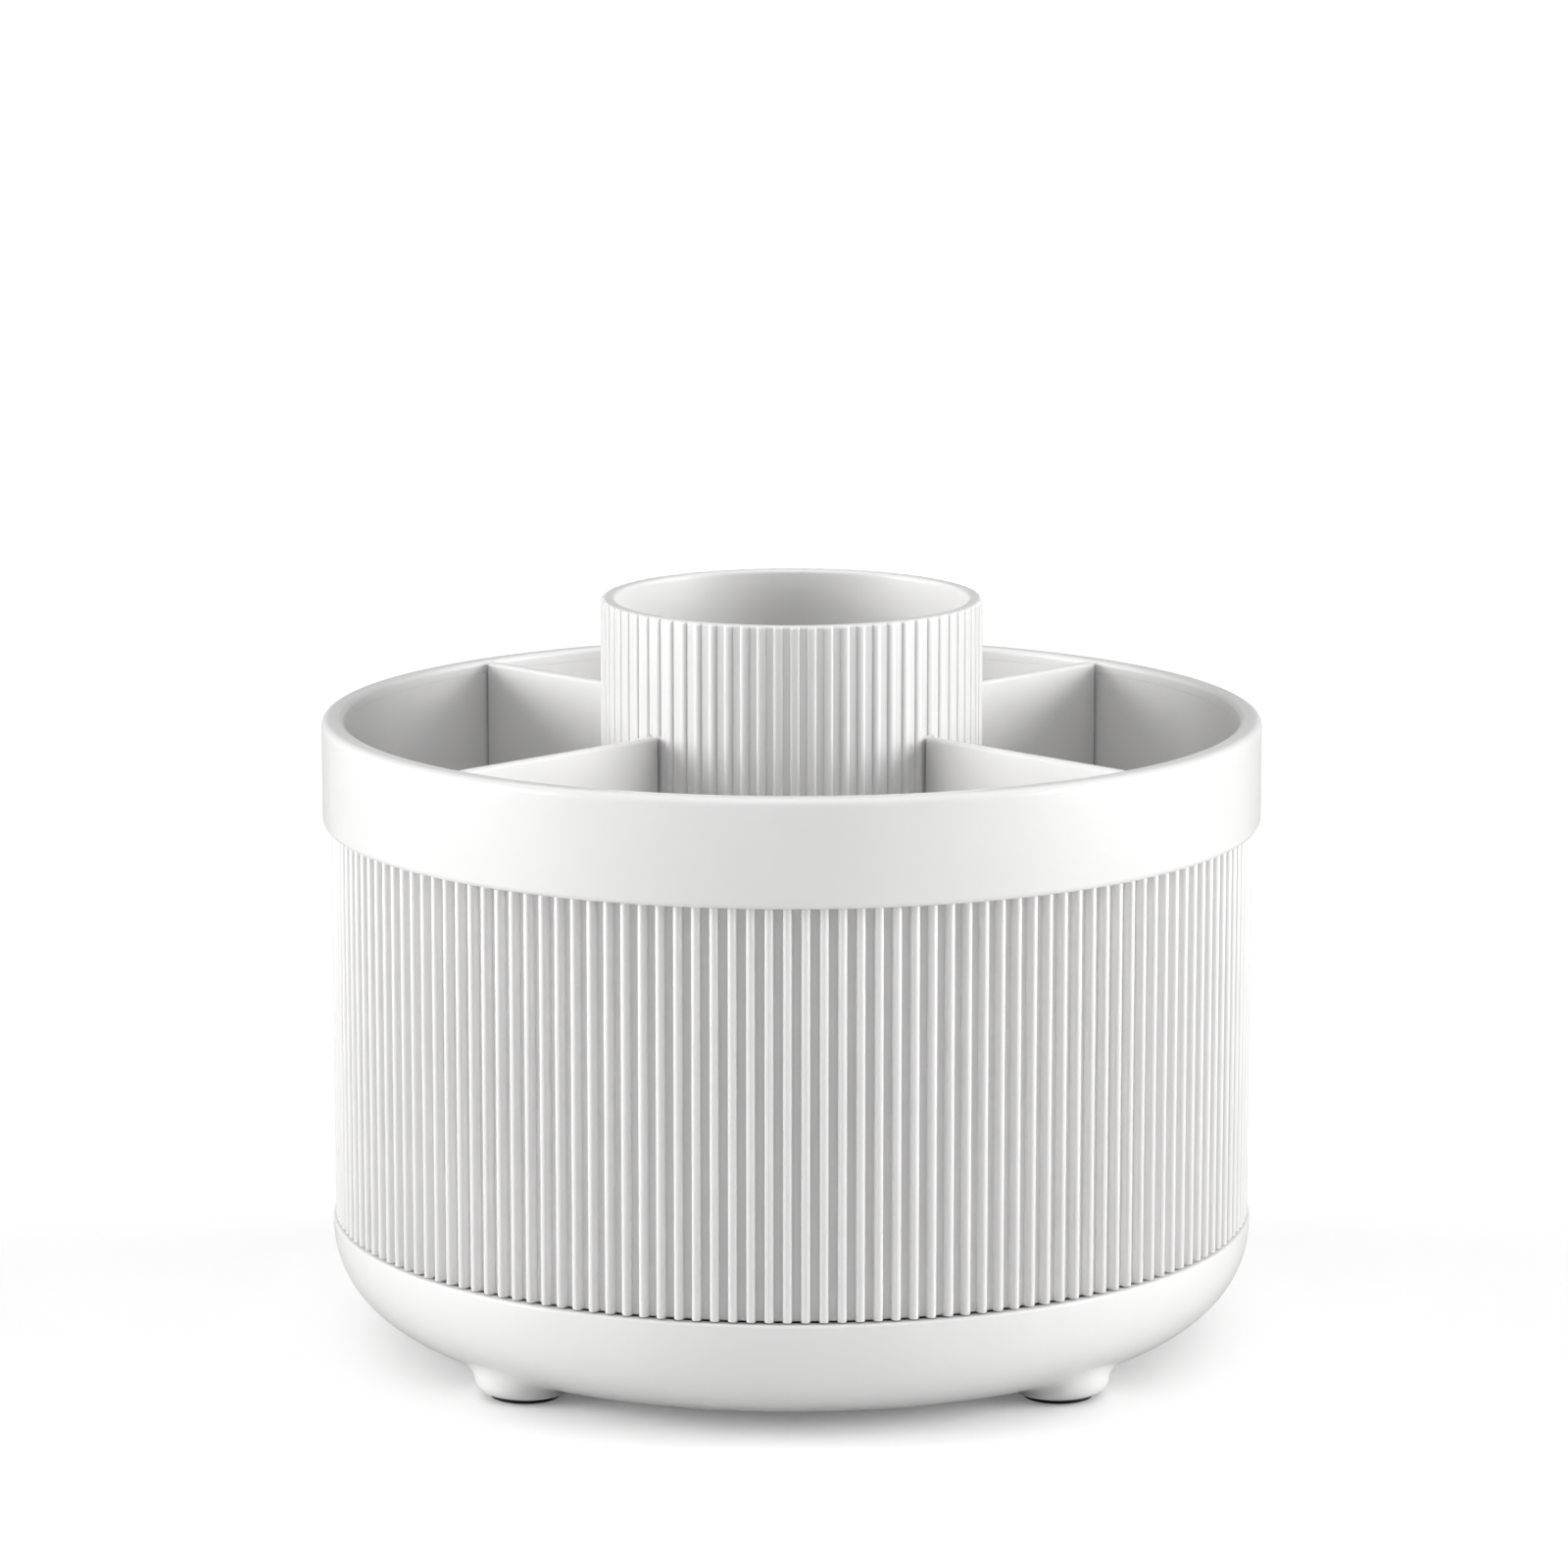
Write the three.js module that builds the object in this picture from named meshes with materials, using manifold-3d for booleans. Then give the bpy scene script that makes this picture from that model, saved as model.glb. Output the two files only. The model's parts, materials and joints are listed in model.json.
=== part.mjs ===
// A turning caddy for make-up brushes: a ribbed drum with a smooth rim collar, a taller ribbed cup in its
// middle and four partitions round the cup. It turns on a ball bearing hidden in a bowl-shaped base on four
// feet. Millimetres, +Z up. The origin is on the table, on the axis the drum turns about. -Y is the front.
import * as THREE from "three";
import { mergeVertices } from "three/addons/utils/BufferGeometryUtils.js";
import Module from "manifold-3d";

const wasm = await Module();
wasm.setup();

// ---- Driving dimensions ----
const GAP = 0.3; // beside a piece
const SEAT = 0.1; // under a flat piece that rests on another
const AXES = [0, 90, 180, 270];
const DIAGONALS = { rear_right: 45, rear_left: 135, front_left: 225, front_right: 315 };

const RIM = { radius: 80, inner: 76.3, top: 107.7, bottom: 89.8, lip: 2, edge: 1.3, innerEdge: 0.7, hem: 1 };
const DRUM = { wall: 77.1, ribTip: 78.6, inner: 76.3, bottom: 21.65 };
const DRUM_RIBS = { count: 166, width: 1.5, first: -90.56 };
const SLEEVE = { ledgeInner: 74.5, ribTuck: 2 };
const BOWL = { radius: 79, top: 21.35, turn: 20.8, lip: 0.4, flat: 50, bottom: 1, wall: 2.2 };
const BOWL_POWERS = { across: 2.41, down: 2.2 };
const FOOT = { circle: 62.7, toe: 6.65, side: 8.6, flare: 10.8, bottom: 0.9, waist: 3.4, flareTop: 5.9, top: 7.6 };
const PAD = { radius: 6, height: 1.9, chamfer: 0.4 };
const FLOOR = { bottom: 23.3, height: 3.2 };
const CUP = { wall: 32, ribTip: 32.5, inner: 30, top: 127.7, floor: 5 };
const CUP_RIBS = { count: 72, width: 1.5, first: -89.1 };
const PARTITION = { top: 107.5, thickness: 2, tab: 10, tabThickness: 1.4, tabs: [42, 62], tabRoot: 1 };
const BALLS = { count: 12, radius: 2.5, circle: 47, height: 18.6 };
const RACE = { inner: 37.5, outer: 53, thickness: 3.6, gap: 2, groove: 2.8, groovePoints: 4 };
const CAGE = { inner: 43.4, outer: 50.6, thickness: 1.2, ballGap: 0.4 };
const RAILS = { inside: [44.2, 45.8], outside: [50.8, 52.4], post: 3.4 };
const SCREW = { shank: 1.2, head: 2.6, headHeight: 1.1 };
const FIXINGS = { raceCircle: 41, cupCircle: 20, lowerLength: 6, cover: 1.2 };
const PIVOT = { boss: 4, hub: 12, recess: 10, recessTop: 4.5, roof: 2, screwTop: 18 };
const PIVOT_WASHER = { radius: 8, height: 0.9 };
const PIVOT_SCREW = { shank: 1.7, head: 3.6, headHeight: 1.2 };
const SCREW_HEAD = { crown: 0.7, slotLength: 1.1, slotWidth: 0.22 }; // as parts of the head's radius
const FACETS = { rim: 64, drum: 56, bowl: 48, race: 36, rail: 32, hub: 24, foot: 20, head: 10, hole: 8 };
const CURVE = { bowlOutside: 8, bowlInside: 5 };
const WELD = 1e-4; // corners closer than this are one corner
const OVERLAP = 1; // how far a joined solid or a cutter runs past the face it meets

const FILLET_MIDDLE = 1 - Math.SQRT1_2; // how far in a round corner's middle lies, as a part of its radius
const OCTAGON_SIDE = Math.SQRT2 - 1; // an octagon's side, as a part of its width
const floorTop = FLOOR.bottom + FLOOR.height;
const lowerRaceTop = BALLS.height - RACE.gap / 2;
const lowerRaceBottom = lowerRaceTop - RACE.thickness;
const railTop = lowerRaceBottom - SEAT;
const upperRaceBottom = BALLS.height + RACE.gap / 2;
const upperRaceTop = FLOOR.bottom - SEAT;

// ---- Solids ----
const radians = (degrees) => (degrees * Math.PI) / 180;
const point = (radius, height) => new THREE.Vector2(radius, height);

// A closed geometry as a manifold-3d solid.
function solid(geometry) {
  const bare = geometry.clone();
  bare.deleteAttribute("normal");
  bare.deleteAttribute("uv");
  const merged = mergeVertices(bare, WELD);
  const index = merged.index.array;
  const triangles = [];
  for (let i = 0; i < index.length; i += 3) {
    const [a, b, c] = [index[i], index[i + 1], index[i + 2]];
    if (a !== b && b !== c && c !== a) triangles.push(a, b, c);
  }
  const mesh = new wasm.Mesh({
    numProp: 3,
    vertProperties: new Float32Array(merged.attributes.position.array),
    triVerts: new Uint32Array(triangles),
  });
  return new wasm.Manifold(mesh);
}

const union = (solids) => solids.reduce((whole, next) => whole.add(next));

// A profile of (radius, height) points, going out, up and back, turned round the Z axis.
const turned = (profile, segments) => solid(new THREE.LatheGeometry(profile, segments).rotateX(Math.PI / 2));

// A disc, or a ring where it has an inner radius.
function ring(inner, outer, low, high, segments) {
  const profile = [point(inner, low), point(outer, low), point(outer, high), point(inner, high)];
  if (inner > 0) profile.push(profile[0].clone());
  return turned(profile, segments);
}

const block = (length, width, low, high) =>
  solid(new THREE.BoxGeometry(length, width, high - low).translate(0, 0, (low + high) / 2));

// Copies of a solid moved out along +X and turned to each angle.
const around = (shape, radius, angles) =>
  union(angles.map((degrees) => shape.translate([radius, 0, 0]).rotate([0, 0, degrees])));

const evenly = (count, first = 0) => Array.from({ length: count }, (_, i) => first + (i * 360) / count);

// An upright cylinder with ribs standing on its wall. A rib has straight sides and half an octagon for a tip.
function ribbedCylinder({ wall, ribTip }, { count, width, first }, low, high) {
  const half = width / 2;
  const tipHalf = half * OCTAGON_SIDE;
  const shoulder = ribTip - half + tipHalf;
  const axis = point(0, 0);
  const outline = evenly(count, first).flatMap((degrees) => {
    const rib = [
      point(wall, -half),
      point(shoulder, -half),
      point(ribTip, -tipHalf),
      point(ribTip, tipHalf),
      point(shoulder, half),
      point(wall, half),
    ];
    return rib.map((corner) => corner.rotateAround(axis, radians(degrees)));
  });
  const options = { depth: high - low, bevelEnabled: false };
  const prism = new THREE.ExtrudeGeometry(new THREE.Shape(outline), options);
  return solid(prism.translate(0, 0, low));
}

// A pan-head screw standing on Z with its cross-cut head down. Its head's upper face is at the seat.
function screw(seat, length, { shank, head, headHeight }) {
  const bottom = seat - headHeight;
  const profile = [
    point(0, bottom),
    point(head * SCREW_HEAD.crown, bottom),
    point(head, bottom + headHeight / 2),
    point(head, seat),
    point(shank, seat),
    point(shank, seat + length - shank),
    point(0, seat + length),
  ];
  const { slotLength, slotWidth } = SCREW_HEAD;
  const slot = block(head * slotLength, head * slotWidth, bottom - OVERLAP, bottom + headHeight / 2);
  return turned(profile, FACETS.head).subtract(slot).subtract(slot.rotate([0, 0, 90]));
}

const screwHole = (low, high, { shank } = SCREW) => ring(0, shank + GAP, low, high, FACETS.hole);
const headPocket = (low, high) => ring(0, SCREW.head + GAP, low, high, FACETS.head);

// ---- The assembly's three bodies ----
const base = new THREE.Group();
const cageGroup = new THREE.Group();
const caddy = new THREE.Group();
const organiser = new THREE.Group();
organiser.add(base, cageGroup, caddy);

function geometryOf(shape) {
  const { vertProperties, triVerts } = shape.getMesh();
  const geometry = new THREE.BufferGeometry();
  geometry.setAttribute("position", new THREE.BufferAttribute(new Float32Array(vertProperties), 3));
  geometry.setIndex(new THREE.BufferAttribute(new Uint32Array(triVerts), 1));
  geometry.computeVertexNormals();
  return geometry;
}

function addPiece(body, name, shape, look, radius = 0, degrees = 0) {
  const mesh = new THREE.Mesh(geometryOf(shape), new THREE.MeshStandardMaterial(look));
  mesh.name = name;
  mesh.position.set(radius * Math.cos(radians(degrees)), radius * Math.sin(radians(degrees)), 0);
  mesh.rotation.z = radians(degrees);
  body.add(mesh);
}

const addCopies = (body, name, shape, look, radius, angles) =>
  angles.forEach((degrees, i) => addPiece(body, `${name}_${i + 1}`, shape, look, radius, degrees));

function addAtDiagonals(body, name, shape, look, radius) {
  for (const [side, degrees] of Object.entries(DIAGONALS)) {
    addPiece(body, `${name}_${side}`, shape, look, radius, degrees);
  }
}

const whiteGloss = { color: 0xf4f3f2, roughness: 0.3, metalness: 0 };
const whiteSatin = { color: 0xf1f0ef, roughness: 0.42, metalness: 0 };
const naturalNylon = { color: 0xe6e1d6, roughness: 0.5, metalness: 0 };
const blackRubber = { color: 0x0c0c0d, roughness: 0.75, metalness: 0 };
const zincSteel = { color: 0xb9bcc0, roughness: 0.35, metalness: 1 };
const ballSteel = { color: 0xd2d4d8, roughness: 0.15, metalness: 1 };
const diagonals = Object.values(DIAGONALS);

// ---- Base: a bowl on four feet, with the posts and rails that carry the bearing ----
// A section of the bowl, inset from its outside: a quarter of a superellipse joins its flat bottom to its
// upright edge.
function bowlProfile(inset, top, steps) {
  const outer = BOWL.radius - inset;
  const bottom = BOWL.bottom + inset;
  const curve = Array.from({ length: steps + 1 }, (_, i) => {
    const turn = ((1 - i / steps) * Math.PI) / 2;
    const radius = BOWL.flat + (outer - BOWL.flat) * Math.cos(turn) ** (2 / BOWL_POWERS.across);
    const drop = (BOWL.turn - bottom) * Math.sin(turn) ** (2 / BOWL_POWERS.down);
    return point(radius, BOWL.turn - drop);
  });
  const lip = inset > 0 ? 0 : BOWL.lip;
  return [point(0, bottom), ...curve, point(outer - lip, top), point(0, top)];
}

const bowlOutside = turned(bowlProfile(0, BOWL.top, CURVE.bowlOutside), FACETS.bowl);
const bowlHollow = turned(bowlProfile(BOWL.wall, BOWL.top + OVERLAP, CURVE.bowlInside), FACETS.bowl);
const toeRise = FOOT.side - FOOT.toe;
const flareOut = FOOT.flare - FOOT.side;
const foot = turned(
  [
    point(0, FOOT.bottom),
    point(FOOT.toe, FOOT.bottom),
    point(FOOT.side - toeRise * FILLET_MIDDLE, FOOT.bottom + toeRise * FILLET_MIDDLE),
    point(FOOT.side, FOOT.bottom + toeRise),
    point(FOOT.side, FOOT.waist),
    point(FOOT.side + flareOut * FILLET_MIDDLE, FOOT.flareTop - flareOut * FILLET_MIDDLE),
    point(FOOT.flare, FOOT.flareTop),
    point(FOOT.flare, FOOT.top),
    point(0, FOOT.top),
  ],
  FACETS.foot,
);
// The feet's flare ends on the bowl's curved side, so it doesn't stick out past it.
const feetReach = turned(
  [
    point(0, 0),
    point(FOOT.circle + FOOT.side, 0),
    point(FOOT.circle + FOOT.side, FOOT.waist),
    point(FOOT.circle + FOOT.flare, FOOT.top),
    point(0, FOOT.top),
  ],
  FACETS.bowl,
);
const feet = around(foot, FOOT.circle, diagonals).intersect(feetReach);
const padPocket = ring(0, PAD.radius + GAP, 0, PAD.height + SEAT, FACETS.foot);
const inBowl = BOWL.bottom + BOWL.wall / 2;
const hubTop = PIVOT.recessTop + PIVOT.roof;
const lowerScrewHole = screwHole(lowerRaceTop - FIXINGS.lowerLength - SCREW.head, BOWL.top);
const baseBowl = union([
  bowlOutside.add(feet).subtract(bowlHollow),
  ring(...RAILS.inside, inBowl, railTop, FACETS.rail),
  ring(...RAILS.outside, inBowl, railTop, FACETS.rail),
  around(ring(0, RAILS.post, inBowl, railTop, FACETS.head), FIXINGS.raceCircle, AXES),
  ring(0, PIVOT.hub, inBowl, hubTop, FACETS.hub),
])
  .subtract(around(padPocket, FOOT.circle, diagonals))
  .subtract(around(lowerScrewHole, FIXINGS.raceCircle, AXES))
  .subtract(ring(0, PIVOT.recess, 0, PIVOT.recessTop, FACETS.hub))
  .subtract(ring(0, PIVOT.boss + GAP, 0, BOWL.top, FACETS.hub));
addPiece(base, "base_bowl", baseBowl, whiteGloss);

const pad = turned(
  [
    point(0, 0),
    point(PAD.radius - PAD.chamfer, 0),
    point(PAD.radius, PAD.chamfer),
    point(PAD.radius, PAD.height),
    point(0, PAD.height),
  ],
  FACETS.foot,
);
addAtDiagonals(base, "foot_pad", pad, blackRubber, FOOT.circle);

// ---- Bearing: two grooved races, the balls between them and the cage that spaces the balls ----
// The groove of the race above (+1) or below (-1) the balls, from its outer edge to its inner edge.
function groove(side) {
  const half = Math.acos(RACE.gap / 2 / RACE.groove);
  return Array.from({ length: RACE.groovePoints }, (_, i) => {
    const turn = half - (2 * half * i) / (RACE.groovePoints - 1);
    const radius = BALLS.circle + RACE.groove * Math.sin(turn);
    return point(radius, BALLS.height + side * RACE.groove * Math.cos(turn));
  });
}

const lowerRaceProfile = [
  point(RACE.inner, lowerRaceBottom),
  point(RACE.outer, lowerRaceBottom),
  point(RACE.outer, lowerRaceTop),
  ...groove(-1),
  point(RACE.inner, lowerRaceTop),
  point(RACE.inner, lowerRaceBottom),
];
const pocketDepth = SCREW.headHeight + GAP;
const lowerPocket = headPocket(lowerRaceTop - pocketDepth, BALLS.height);
const lowerRaceCuts = around(screwHole(0, BALLS.height).add(lowerPocket), FIXINGS.raceCircle, AXES);
const lowerRace = turned(lowerRaceProfile, FACETS.race).subtract(lowerRaceCuts);
addPiece(base, "lower_race", lowerRace, naturalNylon);

const lowerSeat = lowerRaceTop - pocketDepth + SEAT;
const lowerScrew = screw(-lowerSeat, FIXINGS.lowerLength, SCREW).rotate([180, 0, 0]);
addCopies(base, "lower_race_screw", lowerScrew, zincSteel, FIXINGS.raceCircle, AXES);

const ball = solid(new THREE.IcosahedronGeometry(BALLS.radius, 1)).translate([0, 0, BALLS.height]);
addCopies(cageGroup, "bearing_ball", ball, ballSteel, BALLS.circle, evenly(BALLS.count));

const cageBottom = BALLS.height - CAGE.thickness / 2;
const ballHole = ring(0, BALLS.radius + CAGE.ballGap, lowerRaceTop, upperRaceBottom, FACETS.head);
const ballCage = ring(CAGE.inner, CAGE.outer, cageBottom, cageBottom + CAGE.thickness, FACETS.race).subtract(
  around(ballHole, BALLS.circle, evenly(BALLS.count)),
);
addPiece(cageGroup, "ball_cage", ballCage, naturalNylon);

const upperRaceProfile = [
  point(RACE.inner, upperRaceBottom),
  ...groove(1).reverse(),
  point(RACE.outer, upperRaceBottom),
  point(RACE.outer, upperRaceTop),
  point(RACE.inner, upperRaceTop),
  point(RACE.inner, upperRaceBottom),
];
const upperPocket = headPocket(BALLS.height, upperRaceBottom + pocketDepth);
const upperHole = screwHole(BALLS.height, FLOOR.bottom);
const upperRaceCuts = around(upperHole.add(upperPocket), FIXINGS.raceCircle, AXES);
const upperRace = turned(upperRaceProfile, FACETS.race).subtract(upperRaceCuts);
addPiece(caddy, "upper_race", upperRace, naturalNylon);

const upperSeat = upperRaceBottom + pocketDepth - SEAT;
const upperScrewTop = floorTop - FIXINGS.cover;
const upperScrew = screw(upperSeat, upperScrewTop - upperSeat, SCREW);
addCopies(caddy, "upper_race_screw", upperScrew, zincSteel, FIXINGS.raceCircle, AXES);

// ---- Floor: it closes the drum, and the boss under its middle turns in the bowl's hub ----
const bossBottom = PIVOT.recessTop - SEAT;
const aboveFloor = floorTop + OVERLAP;
const tabSlot = block(PARTITION.tab + 2 * GAP, PARTITION.tabThickness + 2 * GAP, 0, aboveFloor);
const floorPlate = ring(0, DRUM.inner - GAP, FLOOR.bottom, floorTop, FACETS.drum)
  .add(ring(0, PIVOT.boss, bossBottom, FLOOR.bottom + OVERLAP, FACETS.hub))
  .subtract(union(PARTITION.tabs.map((radius) => around(tabSlot, radius, diagonals))))
  .subtract(around(screwHole(0, aboveFloor), FIXINGS.cupCircle, AXES))
  .subtract(around(screwHole(0, upperScrewTop + GAP), FIXINGS.raceCircle, AXES))
  .subtract(screwHole(0, PIVOT.screwTop + GAP, PIVOT_SCREW));
addPiece(caddy, "floor_plate", floorPlate, whiteSatin);

// The washer laps under the hub's roof, so the caddy can't be lifted off.
const washerTop = bossBottom - SEAT;
const washerBottom = washerTop - PIVOT_WASHER.height;
const washer = ring(PIVOT_SCREW.shank + GAP, PIVOT_WASHER.radius, washerBottom, washerTop, FACETS.hub);
addPiece(caddy, "pivot_washer", washer, naturalNylon);
const pivotSeat = washerBottom - SEAT;
addPiece(caddy, "pivot_screw", screw(pivotSeat, PIVOT.screwTop - pivotSeat, PIVOT_SCREW), zincSteel);

// ---- Drum: the ribbed sleeve, whose ledge carries the floor, and the rim collar over its top edge ----
const sleeveTop = RIM.top - RIM.lip - SEAT;
const ledgeTop = FLOOR.bottom - SEAT;
const ribbedSleeve = ribbedCylinder(DRUM, DRUM_RIBS, DRUM.bottom, RIM.bottom - SEAT)
  .add(ring(0, DRUM.wall, RIM.bottom - SLEEVE.ribTuck, sleeveTop, FACETS.drum))
  .subtract(ring(0, SLEEVE.ledgeInner, 0, RIM.top, FACETS.drum))
  .subtract(ring(0, DRUM.inner, ledgeTop, RIM.top, FACETS.drum));
addPiece(caddy, "ribbed_sleeve", ribbedSleeve, whiteGloss);

const skirtInner = DRUM.wall + GAP;
const rimCollar = turned(
  [
    point(skirtInner, RIM.bottom),
    point(RIM.radius - RIM.hem, RIM.bottom),
    point(RIM.radius - RIM.hem * FILLET_MIDDLE, RIM.bottom + RIM.hem * FILLET_MIDDLE),
    point(RIM.radius, RIM.bottom + RIM.hem),
    point(RIM.radius, RIM.top - RIM.edge),
    point(RIM.radius - RIM.edge * FILLET_MIDDLE, RIM.top - RIM.edge * FILLET_MIDDLE),
    point(RIM.radius - RIM.edge, RIM.top),
    point(RIM.inner + RIM.innerEdge, RIM.top),
    point(RIM.inner, RIM.top - RIM.innerEdge),
    point(RIM.inner, RIM.top - RIM.lip),
    point(skirtInner, RIM.top - RIM.lip),
    point(skirtInner, RIM.bottom),
  ],
  FACETS.rim,
);
addPiece(caddy, "rim_collar", rimCollar, whiteGloss);

// ---- Cup: it stands on the floor, and four screws from below hold it ----
const cupBottom = floorTop + SEAT;
const cupFloorTop = cupBottom + CUP.floor;
const cupScrewTop = cupFloorTop - FIXINGS.cover;
const channelDepth = CUP.ribTip - CUP.wall + OVERLAP;
const channel = block(channelDepth, PARTITION.thickness + 2 * GAP, 0, PARTITION.top + GAP);
const centreCup = ribbedCylinder(CUP, CUP_RIBS, cupBottom, CUP.top)
  .subtract(ring(0, CUP.inner, cupFloorTop, CUP.top + OVERLAP, FACETS.bowl))
  .subtract(around(channel, CUP.wall + channelDepth / 2, diagonals))
  .subtract(around(screwHole(0, cupScrewTop + GAP), FIXINGS.cupCircle, AXES));
addPiece(caddy, "centre_cup", centreCup, whiteGloss);

const cupSeat = FLOOR.bottom - SEAT;
const cupScrew = screw(cupSeat, cupScrewTop - cupSeat, SCREW);
addCopies(caddy, "cup_screw", cupScrew, zincSteel, FIXINGS.cupCircle, AXES);

// ---- Partitions: plain panels between the cup and the drum, with two tabs each in the floor's slots ----
const panelInner = CUP.wall + GAP;
const panelLength = DRUM.inner - GAP - panelInner;
const panel = block(panelLength, PARTITION.thickness, floorTop + SEAT, PARTITION.top);
const tab = block(PARTITION.tab, PARTITION.tabThickness, FLOOR.bottom + SEAT, floorTop + PARTITION.tabRoot);
const partition = union([
  panel.translate([panelInner + panelLength / 2, 0, 0]),
  ...PARTITION.tabs.map((radius) => tab.translate([radius, 0, 0])),
]);
addAtDiagonals(caddy, "partition", partition, whiteSatin, 0);

export default organiser;
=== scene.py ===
"""A white ribbed make-up brush organiser on a turntable base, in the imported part's frame (metres, +Z up)."""
import json
import math

import bmesh
import bpy
import numpy as np
from mathutils import Matrix, Vector


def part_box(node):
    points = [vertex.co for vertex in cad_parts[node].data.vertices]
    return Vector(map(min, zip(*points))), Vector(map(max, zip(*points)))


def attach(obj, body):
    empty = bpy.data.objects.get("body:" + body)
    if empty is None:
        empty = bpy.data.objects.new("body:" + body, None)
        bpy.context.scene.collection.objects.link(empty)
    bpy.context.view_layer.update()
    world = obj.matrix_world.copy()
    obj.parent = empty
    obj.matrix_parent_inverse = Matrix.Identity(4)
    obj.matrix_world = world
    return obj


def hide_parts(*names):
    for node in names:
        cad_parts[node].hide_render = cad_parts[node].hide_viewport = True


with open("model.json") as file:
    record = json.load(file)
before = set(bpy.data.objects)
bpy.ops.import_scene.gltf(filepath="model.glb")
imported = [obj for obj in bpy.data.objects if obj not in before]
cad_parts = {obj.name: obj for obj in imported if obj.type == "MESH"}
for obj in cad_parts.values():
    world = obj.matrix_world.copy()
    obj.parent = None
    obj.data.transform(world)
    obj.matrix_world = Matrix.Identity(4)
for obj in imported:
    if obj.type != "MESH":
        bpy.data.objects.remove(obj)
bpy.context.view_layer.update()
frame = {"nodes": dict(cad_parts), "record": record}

scene = bpy.context.scene
MM = 0.001

# ---- Where things are, in millimetres and degrees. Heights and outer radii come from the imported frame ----


def low(node):
    return [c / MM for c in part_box(node)[0]]


def high(node):
    return [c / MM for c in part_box(node)[1]]


def middle(node):
    return [(a + b) / 2 for a, b in zip(low(node), high(node))]


RIM_R, RIM_TOP, RIM_BOTTOM = high("rim_collar")[0], high("rim_collar")[2], low("rim_collar")[2]
SLEEVE_TIP, SLEEVE_BOTTOM, SLEEVE_TOP = 78.6, low("ribbed_sleeve")[2], high("ribbed_sleeve")[2]
CUP_TIP, CUP_BOTTOM, CUP_TOP = 32.5, low("centre_cup")[2], high("centre_cup")[2]
BOWL_R, BOWL_BOTTOM, BOWL_TOP = high("base_bowl")[0], 1.0, high("base_bowl")[2]
FLOOR_R, FLOOR_TOP = high("floor_plate")[0], high("floor_plate")[2]
FLOOR_THICK = 3.2
FLOOR_BOTTOM = FLOOR_TOP - FLOOR_THICK
BOSS_BOTTOM = low("floor_plate")[2]
FOOT_CIRCLE = math.hypot(*middle("foot_pad_front_left")[:2])
BALL_Z = middle("bearing_ball_1")[2]
BALL_CIRCLE = middle("bearing_ball_1")[0]
DIAGONALS = [45, 135, 225, 315]
AXES = [0, 90, 180, 270]

# What no box gives: the same sizes as in the CAD.
DRUM_WALL, DRUM_INNER = 77.1, 76.3
CUP_WALL, CUP_INNER, CUP_FLOOR = 32.0, 30.0, 5.0
RIBS = {"drum": (166, 1.5, -90.56), "cup": (72, 1.5, -89.1)}  # count, width, first angle
SCREW_CIRCLE, CUP_SCREW_CIRCLE = 41, 20
SCREW_SHANK, SCREW_HEAD, HEAD_HEIGHT = 1.2, 2.6, 1.1
SCREW_HOLE = 1.5
GAP = 0.3  # clearance between parts that are fitted together

# Only in this model.
RIB_DRAFT = 0.96  # how wide a rib is where its round tip starts, as a part of its foot
PAST = 1  # how far a cutter, or a solid that is joined on, reaches past the face it meets
TALL = 40  # higher than anything a cutter from below has to get through

# ---- Meshes ----
CREASE = 32  # an edge that turns more than this many degrees is sharp
WELD, SLIVER = 0.004, 0.002  # points this close are one, and edges this short go
ON_AXIS = 1e-9  # a radius under this is on the axis


def mesh_object(name, verts, faces):
    """A smooth-shaded mesh, with its creases sharp, from points in millimetres."""
    mesh = bpy.data.meshes.new(name)
    mesh.from_pydata((np.asarray(verts, float) * MM).tolist(), [], faces)
    mesh.validate()
    mesh.shade_smooth()
    mesh.set_sharp_from_angle(angle=math.radians(CREASE))
    obj = bpy.data.objects.new(name, mesh)
    scene.collection.objects.link(obj)
    return obj


def rounded(corners, steps=6, closed=True):
    """(r, z, fillet) corners as a list of (r, z) points, with an arc of that radius at each corner."""
    points = []
    count = len(corners)
    for i, (r, z, fillet) in enumerate(corners):
        corner = np.array([r, z])
        if not fillet or (not closed and i in (0, count - 1)):
            points.append((r, z))
            continue
        before = np.array(corners[i - 1][:2]) - corner
        after = np.array(corners[(i + 1) % count][:2]) - corner
        before /= np.linalg.norm(before)
        after /= np.linalg.norm(after)
        half = math.acos(np.clip(before @ after, -1, 1)) / 2
        centre = corner + (before + after) / np.linalg.norm(before + after) * fillet / math.sin(half)
        start = corner + before * fillet / math.tan(half) - centre
        end = corner + after * fillet / math.tan(half) - centre
        first = math.atan2(start[1], start[0])
        sweep = (math.atan2(end[1], end[0]) - first + math.pi) % (2 * math.pi) - math.pi
        for k in range(steps + 1):
            angle = first + sweep * k / steps
            points.append((centre[0] + fillet * math.cos(angle), centre[1] + fillet * math.sin(angle)))
    return points


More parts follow.
